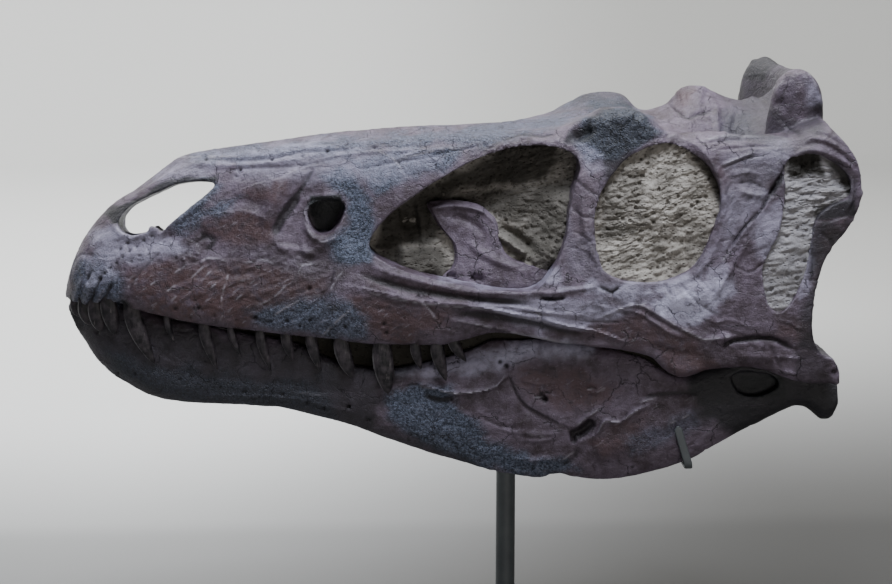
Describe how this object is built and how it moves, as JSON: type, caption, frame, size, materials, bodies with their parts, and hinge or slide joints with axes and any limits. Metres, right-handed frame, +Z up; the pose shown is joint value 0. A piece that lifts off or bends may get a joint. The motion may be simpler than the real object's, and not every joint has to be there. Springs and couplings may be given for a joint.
{
  "type": "dinosaur skull fossil on a museum stand",
  "caption": "Fossil skull and closed lower jaw of a young tyrannosaur, filled with rock, held by a post and two jaw clips on a flat base.",
  "frame": {"origin": "middle of the underside of the base plate, under the axis of the post", "axes": "+X towards the back of the skull (snout at -X), +Y towards its right side, +Z up"},
  "size_m": [0.5665, 0.2228, 0.4598],
  "materials": {
    "bone": "satin",
    "dark_bone": "satin",
    "rock": "matte",
    "painted_steel": "satin"
  },
  "bodies": {
    "root": {"maxilla_left": "bone", "maxilla_right": "bone", "lacrimal_left": "bone", "lacrimal_right": "bone", "jugal_left": "bone", "jugal_right": "bone", "postorbital_left": "bone", "postorbital_right": "bone", "squamosal_left": "bone", "squamosal_right": "bone", "quadratojugal_left": "bone", "quadratojugal_right": "bone", "palatine_left": "bone", "palatine_right": "bone", "surangular_left": "bone", "surangular_right": "bone", "angular_left": "bone", "angular_right": "bone", "skull_roof": "bone", "occiput": "bone", "premaxilla_left": "dark_bone", "premaxilla_right": "dark_bone", "dentary_left": "dark_bone", "dentary_right": "dark_bone", "quadrate_left": "dark_bone", "quadrate_right": "dark_bone", "nasals": "dark_bone", "rock_matrix": "rock", "stand_base": "painted_steel", "stand_post": "painted_steel", "stand_cradle": "painted_steel", "stand_clip_left": "painted_steel", "stand_clip_right": "painted_steel"}
  },
  "joints": []
}
